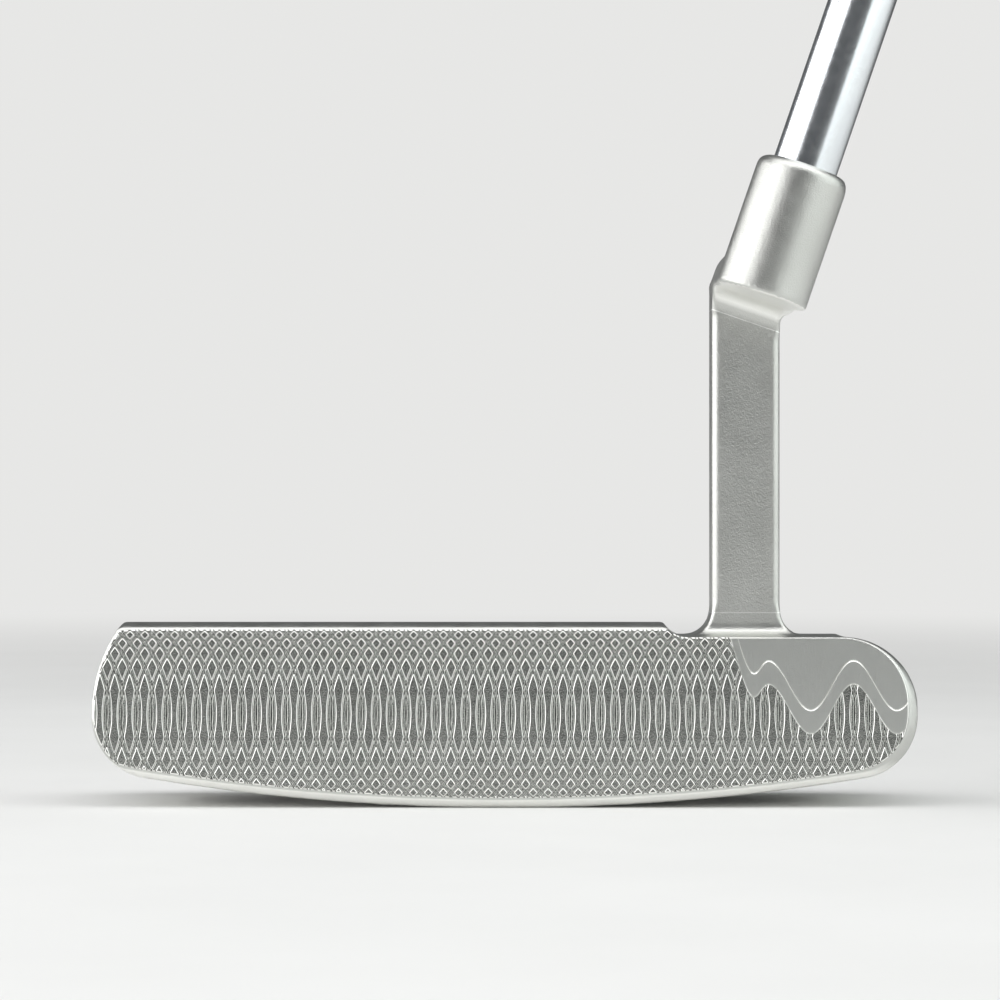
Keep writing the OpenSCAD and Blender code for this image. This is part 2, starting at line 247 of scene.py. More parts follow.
def milled_steel(name):
    """The face: a blasted field, darker lands, groove walls painted bright as a highlight and painted shade
    on the grooves' floors.
    """
    n = Nodes(name)
    slanted = n.mapped(Rotation=(0, math.radians(24), 0), Scale=(1, 1, 0.12))
    lines = n.noise(0.22, 2.0, slanted)
    grain = n.noise(0.2, 2.0)
    raised = n.above_face(0.8 * LAND, 0.2 * LAND)
    # painted shade: the grooves' floors are painted near-black, as the shade in the grooves
    floor = n.above_face(GROOVE_FLOOR + 0.02, GROOVE_FLOOR + 0.002)
    land = n.ramp(n.noise(7.0, 4.0), (0.47, 0.48, 0.45), (0.53, 0.54, 0.51))
    # painted highlight: groove walls that slope away from the face's plane are painted near-white and made
    # rougher
    wall = n.facing(tuple(FACE_N), 0.90, 0.85)
    groove_shaded = n.mix(floor, n.mix(raised, land, (0.72, 0.73, 0.70)), (0.16, 0.16, 0.15))
    colour = n.mix(wall, groove_shaded, (0.97, 0.97, 0.94))
    roughness = n.mix(wall, n.mix(raised, n.ramp(n.noise(1.5, 4.0), 0.21, 0.28), 0.35), 0.36)
    normal = n.bump(grain, 0.02, after=n.bump(lines, 0.035))
    return n.finish(1.0, colour, roughness, normal)


def chromed_steel(name):
    """Satin chrome: finely grained along the tube."""
    n = Nodes(name)
    colour = n.ramp(n.noise(14.0, 3.0), (0.80, 0.83, 0.86), (0.86, 0.885, 0.91))
    roughness = n.ramp(n.noise(1.2, 4.0), 0.17, 0.24)
    normal = n.bump(n.noise(0.25, 3.0), 0.008)
    return n.finish(1.0, colour, roughness, normal)


def turned_steel(name, centre):
    """A turned disc: the tool's fine rings about its own middle, unevenly bright."""
    n = Nodes(name)
    colour = n.ramp(n.noise(3.0, 3.0), (0.54, 0.54, 0.53), (0.62, 0.62, 0.61))
    roughness = n.ramp(n.noise(0.8, 4.0), 0.22, 0.34)
    rings = n.node("ShaderNodeTexWave", Scale=math.tau / (WAVE_RATE * RING_PITCH * MM), Distortion=0.6)
    rings.wave_type = "RINGS"
    rings.rings_direction = "Z"
    n.link(n.mapped(Location=[-c for c in centre]), rings.inputs["Vector"])
    normal = n.bump(n.noise(0.2, 2.0), 0.006, after=n.bump(rings.outputs["Fac"], 0.012))
    return n.finish(1.0, colour, roughness, normal)


def rubber(name, low, high, grain_mm, depth_mm):
    """Moulded rubber: a fine matte tooth, with paler dust in places."""
    n = Nodes(name)
    colour = n.ramp(n.noise(16.0, 5.0), low, high)
    roughness = n.ramp(n.noise(4.0, 4.0), 0.62, 0.8)
    normal = n.bump(n.noise(grain_mm, 3.0), depth_mm)
    return n.finish(0.0, colour, roughness, normal)


def plain(name, low, high, rough, size_mm, depth_mm):
    """A small hidden or painted piece: two tones, uneven gloss and a fine tooth."""
    n = Nodes(name)
    colour = n.ramp(n.noise(size_mm * 4, 4.0), low, high)
    roughness = n.ramp(n.noise(size_mm * 2, 3.0), *rough)
    normal = n.bump(n.noise(size_mm, 3.0), depth_mm)
    return n.finish(0.0, colour, roughness, normal)


# ---- Head: the body, rounded as it is by the cutter and the blasting ----

VOXEL = 0.25          # mm
BAND = 2 * VOXEL      # how much further than needed distances are worked out
PAD = 6               # voxels of air round the head
ADAPTIVITY = 0.02     # how readily flat areas get larger faces
GRADIENT_STEP = 0.9   # voxels to each side of a point between which its normal is measured
CUTTER_R = 1.2        # radius that the cutter leaves in inside corners
EDGE_R = 0.3          # radius of the softened outside edges
FACE_SINK = 0.15      # how far the body stops short of the face, under the milled plate
SOLE_R = 319.94       # height of the sole's camber axis above the ground
POCKET_GAP = 0.1      # between a sole weight and its pocket
STUD_R = 5.05         # radius of the tapped holes
DRILL_PAST = 0.6      # how much deeper than the weight's stud its hole is
CUT_BELOW = 3.0       # how far below the weights their cuts start


def level_set(shape, reach_mm):
    """A signed distance grid of a closed shape in millimetres, exact to reach_mm on both sides."""
    points, tris, quads = shape
    transform = vdb.createLinearTransform(VOXEL)
    return vdb.FloatGrid.createLevelSetFromPolygons(
        points, triangles=tris, quads=quads, transform=transform, halfWidth=reach_mm / VOXEL + 3)


def surface(grid, offset_mm, adaptivity=0.0):
    """The grid's surface at a distance, as points, triangles and quads."""
    return grid.convertToPolygons(isovalue=offset_mm, adaptivity=adaptivity)


def offset_shape(shape, by_mm):
    """A closed shape (points, triangles, quads) grown or shrunk by by_mm."""
    return surface(level_set(shape, abs(by_mm)), by_mm)


def node_shape(name):
    """A CAD node's triangles, welded, in millimetres."""
    mesh = frame["nodes"][name].data
    co = np.zeros(len(mesh.vertices) * 3, np.float32)
    mesh.vertices.foreach_get("co", co)
    mesh.calc_loop_triangles()
    tri = np.zeros(len(mesh.loop_triangles) * 3, np.int32)
    mesh.loop_triangles.foreach_get("vertices", tri)
    keys, index = np.unique(np.round(co.reshape(-1, 3) / MM, 4), axis=0, return_inverse=True)
    tri = index.reshape(-1)[tri].reshape(-1, 3)
    keep = (tri[:, 0] != tri[:, 1]) & (tri[:, 1] != tri[:, 2]) & (tri[:, 0] != tri[:, 2])
    return keys.astype(np.float32), tri[keep].astype(np.uint32), np.zeros((0, 4), np.uint32)


def boundary(faces):
    """The vertices along the open edge of faces that join up, in order."""
    used = {(a, b): True for face in faces for a, b in zip(face, face[1:] + face[:1])}
    after = {a: b for a, b in used if (b, a) not in used}
    ring = [next(iter(after))]
    while after[ring[-1]] != ring[0]:
        ring.append(after[ring[-1]])
    return ring


def turns_left(loop):
    """Whether a closed outline runs anticlockwise."""
    x, w = loop.T
    return np.sum(x * np.roll(w, -1) - np.roll(x, -1) * w) > 0


def face_loop(shape):
    """The outline of the flat face as points in its own two directions, anticlockwise."""
    points, tris, _ = shape
    off = (points - FACE_O) @ FACE_N
    flat = tris[(np.abs(off[tris]) < 0.02).all(axis=1)]
    loop = points[boundary(flat.tolist())].astype(float) - FACE_O
    loop = np.stack([loop @ FACE_X, loop @ FACE_W], 1)
    return loop if turns_left(loop) else loop[::-1]


class HeelBevel:
    """The heel's bevel: at each depth an upper arc, a short straight and a lower arc that meets the sole."""

    WIDTH = 1.5           # mm, at the face
    DEPTH = 1.5           # mm, where it reaches the heel's side
    LEAD = (1.5, 1.6)     # depth and height of the sole's own bevel, which starts at the leading edge
    MEETS_Z = 5.2         # height at which the two bevels meet
    UPPER = (10.6, 9.7)   # radii of the upper arc, at the side and at the face
    LOWER = (9.2, 8.5)    # radii of the lower arc
    HEEL = 12.0           # mm of the face's heel end, in which the top edge is level
    SLANT = 0.8           # about how far the bevel is for each mm to it in the face's plane

    def __init__(self, loop):
        self.right = loop[:, 0].max()
        self.top = loop[loop[:, 0] > self.right - self.HEEL, 1].max()

    def arcs(self, depth):
        """Right side, centre heights and radii of the two arcs, and where the lower one meets the sole."""
        t = np.clip(depth / self.DEPTH, 0, 1)
        right = self.right - self.WIDTH * (1 - t)
        upper_r, lower_r = (face + (side - face) * t for side, face in (self.UPPER, self.LOWER))
        behind_edge = depth + self.MEETS_Z * FACE_W[1] / FACE_W[2]
        rise = self.LEAD[1] * np.clip(1 - behind_edge / self.LEAD[0], 0, 1)
        reach = SOLE_R - rise - lower_r
        centre_z = SOLE_R - np.sqrt(reach ** 2 - (right - lower_r) ** 2)
        lower_w = (centre_z - FACE_O[2]) / FACE_W[2]
        meets = (right - lower_r) * (1 + lower_r / reach)
        return right, self.top - upper_r, upper_r, lower_w, lower_r, meets

    def cut(self, x, w, depth):
        """How far points are outside the bevelled end. Negative inside it, and left of its arcs' centres."""
        right, upper_w, upper_r, lower_w, lower_r, meets = self.arcs(depth)
        upper = np.hypot(x - right + upper_r, w - upper_w) - upper_r
        lower = np.hypot(x - right + lower_r, w - lower_w) - lower_r
        upper = np.where(x > right - upper_r, upper, -FAR)
        lower = np.where(x > meets, lower, -FAR)
        return np.where(w >= upper_w, upper, np.where(w <= lower_w, lower, x - right)) * self.SLANT

    def trim(self, loop):
        """The face's outline with its heel end drawn in to the bevel."""
        right, upper_w, upper_r, lower_w, lower_r, meets = self.arcs(0.0)
        out = loop.copy()
        for i, (x, w) in enumerate(loop):
            if lower_w < w < upper_w:
                out[i, 0] = min(x, right)
                continue
            low = w <= lower_w
            middle_w, r, start = (lower_w, lower_r, meets) if low else (upper_w, upper_r, right - upper_r)
            middle_x = right - r
            d = math.hypot(x - middle_x, w - middle_w)
            if x > start and d > r:
                out[i] = (middle_x + (x - middle_x) * r / d, middle_w + (w - middle_w) * r / d)
        return out


def dense(grid, lo, size, background):
    """A grid's values as an array over a box of voxels."""
    values = np.full(size, background, np.float32)
    grid.copyToArray(values, ijk=lo)
    return values


def axes_of(lo, size):
    """Coordinates in millimetres of a box of voxels, ready to broadcast."""
    x, y, z = (((np.arange(n) + o) * VOXEL).astype(np.float32) for n, o in zip(size, lo))
    return x[:, None, None], y[None, :, None], z[None, None, :]


def face_depth(x, y, z):
    """Distance behind the face's plane."""
    return -((y - FACE_O[1]) * FACE_N[1] + (z - FACE_O[2]) * FACE_N[2])


def axial(name, foot=SHAFT_P, axis=SHAFT_U):
    """A node's vertices as distances along an axis, the shaft's if none is given, and away from it."""
    points = node_shape(name)[0].astype(float) - foot
    along = points @ axis
    return along, np.linalg.norm(points - np.outer(along, axis), axis=1)


def barrel_foot():
    """Where the barrel's foot is along the shaft's axis: below the epoxy, which fills the bore's floor."""
    return axial("epoxy_bond")[0].min() - BORE_FLOOR


def cylinder_field(x, y, z, foot, axis, radius, start, end):
    """Signed distance to a cylinder whose axis starts at foot: negative inside it."""
    px, py, pz = x - foot[0], y - foot[1], z - foot[2]
    along = px * axis[0] + py * axis[1] + pz * axis[2]
    away = np.sqrt(np.maximum(px * px + py * py + pz * pz - along * along, 0))
    return np.maximum(np.maximum(away - radius, start - along), along - end)


def box_field(x, y, z, lo, hi):
    """Signed distance, as the largest of the six sides', to an upright box: negative inside it."""
    across = np.maximum(lo[0] - x, x - hi[0])
    ahead = np.maximum(lo[1] - y, y - hi[1])
    return np.maximum(np.maximum(across, ahead), np.maximum(lo[2] - z, z - hi[2]))


def reach_of(name, foot, axis):
    """How far a node reaches from an axis, and from where to where along it."""
    along, away = axial(name, foot, axis)
    return away.max(), along.min(), along.max()


def pocket_field(x, y, z, weight):
    """A sole weight's pocket and tapped hole, on a line through the sole camber's axis."""
    middle = np.array(middle_of(weight)) / MM
    foot = np.array([0.0, middle[1], SOLE_R])
    axis = foot - middle
    axis /= np.linalg.norm(axis)
    wide, outer, inner = reach_of(weight, foot, axis)
    _, _, seat = reach_of(weight + "_seal", foot, axis)
    below = outer - CUT_BELOW
    pocket = cylinder_field(x, y, z, foot, axis, wide + POCKET_GAP, below, seat)
    return np.minimum(pocket, cylinder_field(x, y, z, foot, axis, STUD_R, below, inner + DRILL_PAST))


def sharp_cuts(x, y, z):
    """The bore, the two weights' pockets and the sight line's groove, as one field: negative inside them."""
    radius, start, _ = reach_of("epoxy_bond", SHAFT_P, SHAFT_U)
    cuts = cylinder_field(x, y, z, SHAFT_P, SHAFT_U, radius, start, FAR)
    for weight in ("toe_weight", "heel_weight"):
        cuts = np.minimum(cuts, pocket_field(x, y, z, weight))
    lo, hi = (np.array(c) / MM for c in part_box("sight_line_fill"))
    return np.minimum(cuts, box_field(x, y, z, lo, hi + np.array([0, 0, 1.0])))


def head_voxels():
    """The first voxel, and the number of voxels each way, of a box round the head."""
    lo = tuple(int(math.floor(v / VOXEL)) - PAD for v in head_lo)
    return lo, tuple(int(math.ceil(v / VOXEL)) + PAD - o for v, o in zip(head_hi, lo))


def rounded_inside(shape, lo, size):
    """A shape's distances with the cutter's radius in its inside corners."""
    reach = CUTTER_R + BAND
    return dense(level_set(offset_shape(shape, CUTTER_R), reach), lo, size, reach) + CUTTER_R


def cut_back(solid, lo, size, bevel, face_top):
    """Ends the body just behind the face, bevels its heel and opens its bore, pockets and groove."""
    x, y, z = axes_of(lo, size)
    depth = face_depth(x, y, z)
    in_head = z < FACE_O[2] + face_top + 0.2
    solid = np.maximum(solid, np.where(in_head, FACE_SINK - depth, -FAR))
    w = (y - FACE_O[1]) * FACE_W[1] + (z - FACE_O[2]) * FACE_W[2]
    solid = np.maximum(solid, bevel.cut(x, w, depth))
    solid = np.maximum(solid, -sharp_cuts(x, y, z))
    grid = vdb.FloatGrid(CUTTER_R + BAND)
    grid.transform = vdb.createLinearTransform(VOXEL)
    grid.copyFromArray(solid, ijk=lo)
    return surface(grid, 0.0)


def build_head():
    """The body, and the outline that is left for the milled plate."""
    raw = node_shape("head")
    loop = face_loop(raw)
    bevel = HeelBevel(loop)
    lo, size = head_voxels()
    cut = cut_back(rounded_inside(raw, lo, size), lo, size, bevel, loop[:, 1].max())
    # shrinking and growing again softens the outside edges
    reach = EDGE_R + BAND
    soft = level_set(offset_shape(cut, -EDGE_R), reach)
    points, tris, quads = surface(soft, EDGE_R, ADAPTIVITY)
    faces = [tuple(face[::-1]) for face in quads.tolist() + tris.tolist()]
    obj = new_object("head_body", points, faces, smooth=True)
    # the normals come from the distances themselves, so that flat and curved areas shade cleanly
    normals = field_normals(dense(soft, lo, size, reach), lo, points)
    if len(obj.data.vertices) == len(normals):
        obj.data.normals_split_custom_set_from_vertices([tuple(v) for v in normals])
    return obj, bevel.trim(resampled(loop, OUTLINE_STEP))


def field_normals(field, lo, points):
    """Unit gradients of a distance field at points in millimetres."""
    at = points / VOXEL - np.array(lo, np.float32)
    normals = np.zeros(points.shape, np.float32)
    for axis in range(3):
        step = np.zeros(3, np.float32)
        step[axis] = GRADIENT_STEP
        normals[:, axis] = sample(field, at + step) - sample(field, at - step)
    length = np.linalg.norm(normals, axis=1, keepdims=True)
    return normals / np.maximum(length, 1e-9)


def sample(field, at):
    """Trilinear values of an array at fractional places."""
    limit = np.array(field.shape) - 2
    base = np.clip(np.floor(at).astype(int), 0, limit)
    part = np.clip(at - base, 0, 1)
    total = np.zeros(len(at), np.float32)
    for corner in range(8):
        bits = np.array([(corner >> k) & 1 for k in range(3)])
        weight = np.prod(np.where(bits, part, 1 - part), axis=1)
        i, j, k = (base + bits).T
        total += weight * field[i, j, k]
    return total


# ---- Head: the milled face ----

GROOVE_PITCH = 2.17       # mm from one arc to the next, along the face
ARC_R = 16.3              # radius of the fly cutter's path
FAMILY_GAP = 0.71         # between the two families' arcs on the centre line
PATTERN_AT = 0.82         # where one lens is centred
HALF_GROOVE = ((0.14, -0.025), (0.24, -0.07), (0.31, -0.07), (0.41, 0.0))   # offset and height
GROOVE = tuple((-offset, height) for offset, height in reversed(HALF_GROOVE)) + HALF_GROOVE
LAND = -0.05              # the milled lands, below the smooth field
GROOVE_FLOOR = LAND - 0.07
OUTLINE_STEP = 0.8        # between points along the face's outline
ARC_STEP = 0.9            # between points along the grooves
FIELD_X = 30.5            # where the smooth field starts, from the face's middle
FIELD_TOP = 15.0          # height of its border there, which is above the face
FIELD_FALL = 14.2         # how far the border then falls
WAVE = 3.6                # height of the wave in the border
WAVE_LENGTH = 12.5
BORDER_STEP = 0.25        # between points along the border
STEP_W = 0.22             # width of the step from the field down to the lands
LINE_UP = 3.3             # from the border up to the fine line engraved in the field
LINE_W = 0.15             # half the engraved line's width
LINE_DEPTH = 0.08
PLATE_GAP = 0.015         # how far the rim's foot is sunk in the body
PLATE_BACK = 0.6          # how far the plate's back is sunk in the body
RIM = 0.22                # width of the rim round the milled area
TOE_RIM = 0.3             # how much wider it is at the toe
HALVINGS = 12             # steps in looking for the place where a line meets the border


def field_border(x):
    """Height of the smooth field's lower border on the face, a plain wave that falls from the top edge."""
    along = x - FIELD_X
    fall = FIELD_TOP - FIELD_FALL * smoothstep(along / 6.5)
    wave = WAVE * np.sin(math.tau * (along - 4.5) / WAVE_LENGTH) * smoothstep((along - 3) / 5)
    return np.where(along < 0, FAR, fall + wave)


def in_milled(points):
    """Which points on the face are below the smooth field."""
    return points[:, 1] < field_border(points[:, 0]) - STEP_W


def arc_centres(loop_lo, loop_hi):
    """(side, centre) of every arc that can cross the face. Side 1 bows to the toe, side -1 to the heel."""
    reach = ARC_R + 1
    for side in (1, -1):
        middle = PATTERN_AT - side * FAMILY_GAP / 2
        first = math.floor((loop_lo - middle - reach) / GROOVE_PITCH)
        last = math.ceil((loop_hi - middle + reach) / GROOVE_PITCH)
        for k in range(first, last + 1):
            yield side, middle + k * GROOVE_PITCH + side * ARC_R


def groove_depth(x, w):
    """Depth of the milled grooves at points on the face: the deeper of the two families."""
    offsets, depths = zip(*GROOVE)
    depth = np.zeros(len(x))
    for side in (1, -1):
        middle = PATTERN_AT - side * FAMILY_GAP / 2
        lean = ARC_R - np.sqrt(np.maximum(ARC_R ** 2 - w ** 2, 0.0))
        nearest = np.round((x - side * lean - middle) / GROOVE_PITCH)
        for k in (-1, 0, 1):
            centre = middle + (nearest + k) * GROOVE_PITCH + side * ARC_R
            away = np.hypot(x - centre, w) - ARC_R
            cut = np.interp(away, offsets, depths, left=0.0, right=0.0)
            depth = np.minimum(depth, np.where((x - centre) * side < 0, cut, 0.0))
    return depth


def face_height(x, w):
    """Height of the face's surface above its plane at every point."""
    border = field_border(x)
    milled = LAND + groove_depth(x, w)
    line = np.abs(w - border - LINE_UP)
    engraved = -LINE_DEPTH * np.clip(1 - line / LINE_W, 0, 1)
    share = np.clip((border - w) / STEP_W, 0, 1)
    return np.where(w >= border, engraved, milled * share)


def resampled(loop, step):
    """A closed outline with no two neighbours further apart than step."""
    out = []
    for a, b in zip(loop, np.roll(loop, -1, axis=0)):
        n = max(1, int(math.ceil(np.linalg.norm(b - a) / step)))
        out.extend(a + (b - a) * i / n for i in range(n))
    out = np.array(out)
    gap = np.linalg.norm(out - np.roll(out, 1, axis=0), axis=1)
    return out[gap > 0.02]


def inset(loop, amounts):
    """Moves an outline inwards, with mitred corners."""
    before = loop - np.roll(loop, 1, axis=0)
    after = np.roll(loop, -1, axis=0) - loop
    n1 = np.stack([-before[:, 1], before[:, 0]], 1) / np.linalg.norm(before, axis=1, keepdims=True)
    n2 = np.stack([-after[:, 1], after[:, 0]], 1) / np.linalg.norm(after, axis=1, keepdims=True)
    mean = n1 + n2
    mean /= np.maximum(np.linalg.norm(mean, axis=1, keepdims=True), 1e-6)
    mitre = 1 / np.clip(np.sum(mean * n1, axis=1), 0.5, 1)
    return loop + mean * (np.asarray(amounts) * mitre)[:, None]


def rim_width(loop):
    """Width of the rim round the milled area: wider at the toe than along the top and the sole."""
    toe = smoothstep((loop[:, 0].min() + 7 - loop[:, 0]) / 5)
    return RIM + TOE_RIM * toe


def crossing(a, b):
    """Points just before and just after the place where the way from a to b meets the smooth field."""
    side = in_milled(a[None])[0]
    for _ in range(HALVINGS):
        middle = (a + b) / 2
        if in_milled(middle[None])[0] == side:
            a = middle
        else:
            b = middle
    return a, b


def clipped(points):
    """The runs of a polyline that are in the milled area, each ended at the smooth field."""
    runs, run = [], []
    inside = in_milled(points)
    for i, p in enumerate(points):
        if i and inside[i] != inside[i - 1]:
            before, behind = crossing(points[i - 1], p)
            if inside[i - 1]:
                runs.append(run + [before])
                run = []
            else:
                run = [behind]
        if inside[i]:
            run.append(p)
    if len(run) > 1:
        runs.append(run)
    return [r for r in runs if len(r) > 1]


def pattern_lines(rim):
    """The lines along which the front is divided: every edge of the grooves, the border and the fine line."""
    left, right = rim[:, 0].min(), rim[:, 0].max()
    low, high = rim[:, 1].min() - 0.5, rim[:, 1].max() + 0.5
    for side, centre in arc_centres(left, right):
        for offset, _ in GROOVE:
            r = ARC_R + offset
            angles = np.linspace(math.asin(low / r), math.asin(high / r), int((high - low) / ARC_STEP))
            arc = np.stack([centre - side * r * np.cos(angles), r * np.sin(angles)], 1)
            if arc[:, 0].max() >= left - 1 and arc[:, 0].min() <= right + 1:
                yield from clipped(arc)
    x = np.arange(FIELD_X + 0.1, right + 1, BORDER_STEP)
    for shift in (-STEP_W, 0.0, LINE_UP - LINE_W, LINE_UP, LINE_UP + LINE_W):
        yield np.stack([x, field_border(x) + shift], 1)


def divided(rim):
    """The front as flat points and faces inside the rim, divided along the pattern's lines."""
    points = [Vector(p) for p in rim]
    edges = []
    for line in pattern_lines(rim):
        first = len(points)
        points.extend(Vector(p) for p in line)
        edges.extend((first + i, first + i + 1) for i in range(len(line) - 1))
    inside = [list(range(len(rim)))]
    verts, _, faces, _, _, sources = delaunay_2d_cdt(points, edges, inside, 1, 1e-5, True)
    faces = [f for f, source in zip(faces, sources) if source]
    # the ends of the lines that run past the rim are in no face, and are left out
    kept = sorted({i for f in faces for i in f})
    place = {old: new for new, old in enumerate(kept)}
    return np.array([tuple(verts[i]) for i in kept]), [tuple(place[i] for i in f) for f in faces]


def on_face(flat, height):
    """Points from places on the face and heights above its plane."""
    across = np.outer(flat[:, 0], FACE_X) + np.outer(flat[:, 1], FACE_W)
    return FACE_O + across + np.outer(height, FACE_N)


def sides_and_back(ring, count):
    """Faces from the front's edge down a bevel and a straight side to the back, whose points follow count."""
    m = len(ring)
    faces = []
    for i in range(m):
        j = (i + 1) % m
        faces.append((ring[i], count + i, count + j, ring[j]))
        faces.append((count + i, count + m + i, count + m + j, count + j))
    faces.append(tuple(count + m + i for i in range(m))[::-1])
    return faces


def build_face(outline):
    """The milled plate: its front follows the grooves, and its rim is bevelled down to the body."""
    rim = inset(outline, rim_width(outline))
    foot = inset(outline, rim_width(outline) - FACE_SINK)
    flat, faces = divided(rim)
    front = on_face(flat, face_height(flat[:, 0], flat[:, 1]))
    # the pattern's lines added points to the edge, and each has its own foot on the body
    ring = boundary(faces)
    edge = flat[ring]
    bevel = on_face(edge_offsets(edge, rim, foot), np.full(len(ring), -FACE_SINK - PLATE_GAP))
    back = on_face(edge, np.full(len(ring), -FACE_SINK - PLATE_BACK))
    faces += sides_and_back(ring, len(flat))
    if not turns_left(edge):
        faces = [f[::-1] for f in faces]
    return new_object("milled_face", np.concatenate([front, bevel, back]), faces)


def edge_offsets(edge, rim, foot):
    """For points along the rim, the matching points along the foot."""
    out = np.zeros_like(edge)
    span = np.roll(rim, -1, axis=0) - rim
    foot_span = np.roll(foot, -1, axis=0) - foot
    length2 = np.maximum(np.sum(span ** 2, axis=1), 1e-12)
    for i, p in enumerate(edge):
        share = np.clip(np.sum((p - rim) * span, axis=1) / length2, 0, 1)
        nearest = int(np.argmin(np.sum((rim + span * share[:, None] - p) ** 2, axis=1)))
        out[i] = foot[nearest] + foot_span[nearest] * share[nearest]
    return out


# ---- Shaft and grip: pieces turned or moulded about the shaft's axis ----

AROUND = 96           # columns round the shaft and the cap
OUTSIDE = 60.0        # mm from the axis, outside every piece
SHAFT_WALL = (0.8, 0.43)          # at the tip and at the butt
SHAFT_CHAMFER = 0.15
END_ROWS = (0.3, 0.8, 1.5)        # rows next to the shaft's ends, which keep its long sides' shading straight
SWAGE = 1.3           # half the length over which each step of the shaft swells
SWAGE_ROWS = np.linspace(-1.6, 1.6, 15)   # places of rows about a step, in units of SWAGE
GRIP_PLACES = 66      # places along the grip at which the CAD sleeve's radii are taken
GRIP_ROWS = 520       # rows and columns of the grip's skin, close enough for the dimples
GRIP_COLUMNS = 156
BARE_ENDS = (10.0, 12.0)          # mm at the grip's lower and upper ends without dimples
DIMPLES_AROUND = 18
DIMPLE_PITCH = 4.2    # mm along the grip
DIMPLE_DEPTH = 0.4
RING_DEPTH = 0.4
RINGS_AT = (6.0, 8.0)             # from the grip's lower end and from its upper end
SEAM_DEPTH = 0.3
SEAM_AT = -0.72       # cosine of the angle at which a fine seam bounds the thumb flat
LIP_R = 1.0           # rounding of the grip's lower end
CAP_EDGE = 1.6        # rounding of the cap
CAP_CHAMFER = 0.25
DISH_DEPTH = 0.5
DISH_RING = 0.3       # height of the ring in the dish
SPIGOT_LEN = 6.0
VENT_R = 1.0


def on_axis(along, away, angle):
    """Points from distances along the shaft, radii and angles about it; angle 0 is the palm's side."""
    along, away, angle = np.broadcast_arrays(along, away, angle)
    side = np.cos(angle)[..., None] * SHAFT_V + np.sin(angle)[..., None] * np.array([0.0, 1.0, 0.0])
    return SHAFT_P + along[..., None] * SHAFT_U + away[..., None] * side


def ring_object(name, along, away):
    """A closed skin from rows that each run once round the shaft. The last row joins up with the first."""
    rows, columns = away.shape
    angle = np.arange(columns) * math.tau / columns
    points = on_axis(along[:, None], away, angle[None, :]).reshape(-1, 3)
    faces = []
    for i in range(rows):
        a, b = i * columns, (i + 1) % rows * columns
        faces.extend((a + j, a + (j + 1) % columns, b + (j + 1) % columns, b + j) for j in range(columns))
    return new_object(name, points, faces, smooth=True)


def shaft_profile():
    """Rows of (distance, radius) up the outside of the shaft, each step a short smooth swelling."""
    along, away = axial("shaft")
    place = np.round(along, 1)
    starts = []
    for s in np.unique(place):
        r = away[place == s].max()
        if not starts or r > starts[-1][1] + 0.02:
            starts.append((s, r))
    (tip, tip_r), (_, butt_r), end = starts[0], starts[-1], along.max()
    rows = [(tip, tip_r - SHAFT_CHAMFER)] + [(tip + s, tip_r) for s in END_ROWS]
    for (_, r0), (s, r1) in zip(starts, starts[1:]):
        rows += [(s + SWAGE * t, r0 + (r1 - r0) * float(smoothstep((t + 1) / 2))) for t in SWAGE_ROWS]
    rows += [(end - s, butt_r) for s in reversed(END_ROWS)] + [(end, butt_r - SHAFT_CHAMFER)]
    return np.array(rows)


def build_shaft():
    """The stepped tube, outside and inside."""
    rows = shaft_profile()
    wall = np.interp(rows[:, 0], rows[[0, -1], 0], SHAFT_WALL)
    along = np.concatenate([rows[:, 0], rows[::-1, 0]])
    away = np.concatenate([rows[:, 1], (rows[:, 1] - wall)[::-1]])
    return ring_object("shaft_tube", along, np.repeat(away[:, None], AROUND, axis=1))


def skin_radii(name, along, columns):
    """A node's radius at distances along the shaft and angles about it, found by looking in from outside."""
    points, tris, _ = node_shape(name)
    tree = BVHTree.FromPolygons([Vector(p) for p in points.tolist()], tris.tolist())
    angle = np.arange(columns) * math.tau / columns
    out = np.zeros((len(along), columns))
    for i, s in enumerate(along):
        starts = on_axis(np.full(columns, s), np.full(columns, OUTSIDE), angle)
        middle = on_axis(np.full(columns, s), np.zeros(columns), angle)
        for j, start in enumerate(starts):
            _, _, _, distance = tree.ray_cast(Vector(start), Vector(middle[j] - start).normalized())
            out[i, j] = OUTSIDE - distance
    return out


def softened(rows, spread):
    """Rows averaged with their neighbours, so that a shape made of straight lengths bends smoothly."""
    reach = 3 * spread
    weights = np.exp(-0.5 * (np.arange(-reach, reach + 1) / spread) ** 2)
    padded = np.pad(rows, ((reach, reach), (0, 0)), mode="reflect", reflect_type="odd")
    out = np.zeros_like(rows)
    for k, weight in enumerate(weights / weights.sum()):
        out += weight * padded[k:k + len(rows)]
    return out


def grip_relief(s, length, angle):
    """The moulded relief: staggered dimples round the palm's side, and a ring groove at each end."""
    cells = np.cos(DIMPLES_AROUND * angle) * np.cos(math.tau * s / DIMPLE_PITCH)
    dimples = smoothstep((cells - 0.3) / 0.45)
    palm = smoothstep((np.cos(angle) + 0.62) / 0.2)
    ends = smoothstep((s - BARE_ENDS[0]) / 3) * smoothstep((length - BARE_ENDS[1] - s) / 3)
    edge = np.abs(np.cos(angle) - SEAM_AT)
    seam = np.clip(1 - edge / 0.035, 0, 1) * ends
    rings = sum(np.clip(1 - np.abs(s - at) / 0.7, 0, 1) for at in (RINGS_AT[0], length - RINGS_AT[1]))
    return -DIMPLE_DEPTH * dimples * palm * ends - SEAM_DEPTH * seam - RING_DEPTH * rings


